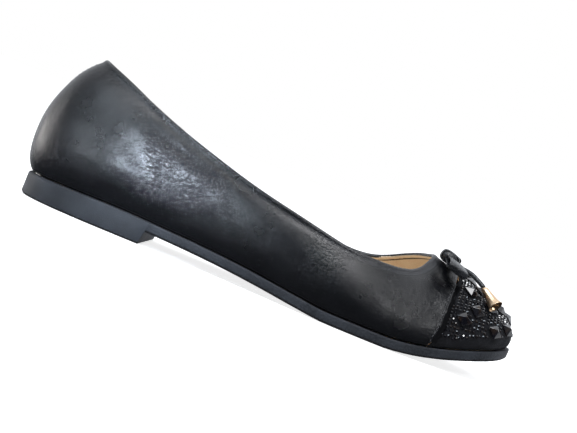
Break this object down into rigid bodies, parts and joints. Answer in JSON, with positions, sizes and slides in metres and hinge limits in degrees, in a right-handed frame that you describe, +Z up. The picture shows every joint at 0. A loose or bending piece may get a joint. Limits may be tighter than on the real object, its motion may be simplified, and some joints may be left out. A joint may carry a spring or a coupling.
{
  "type": "ballet flat",
  "caption": "Low-heeled slip-on shoe for the right foot: moulded sole, hollow leather upper, suede toe cap with faceted stones, and a bow with two tails ending in small bells.",
  "frame": {"origin": "on the floor under the middle of the heel, on the heel's flat underside", "axes": "+X runs forward to the toe, -Y is the shoe's outer side, +Z is up"},
  "size_m": [0.254, 0.0827, 0.0749],
  "materials": {
    "rubber": "dark slate grey, matt, finely pebbled before the heel",
    "sock": "tan, matt",
    "leather": "black, fine grain, soft gloss",
    "suede": "black suede nap",
    "gold": "polished pale gold plate",
    "jet": "black faceted resin, mirror gloss"
  },
  "bodies": {
    "root": {"outsole": "rubber", "insole": "sock", "upper": "leather", "toe_cap": "suede", "bow_loops": "leather", "bow_knot": "leather", "bow_tail_outer": "leather", "bow_tail_inner": "leather", "tail_bell_outer": "gold", "tail_bell_inner": "gold", "stone_01": "jet", "stone_02": "jet", "stone_03": "jet", "stone_04": "jet", "stone_05": "jet", "stone_06": "jet", "stone_07": "jet", "stone_08": "jet", "stone_09": "jet", "stone_10": "jet", "stone_11": "jet", "stone_12": "jet", "stone_13": "jet", "stone_14": "jet", "stone_15": "jet", "stone_16": "jet"}
  },
  "joints": []
}
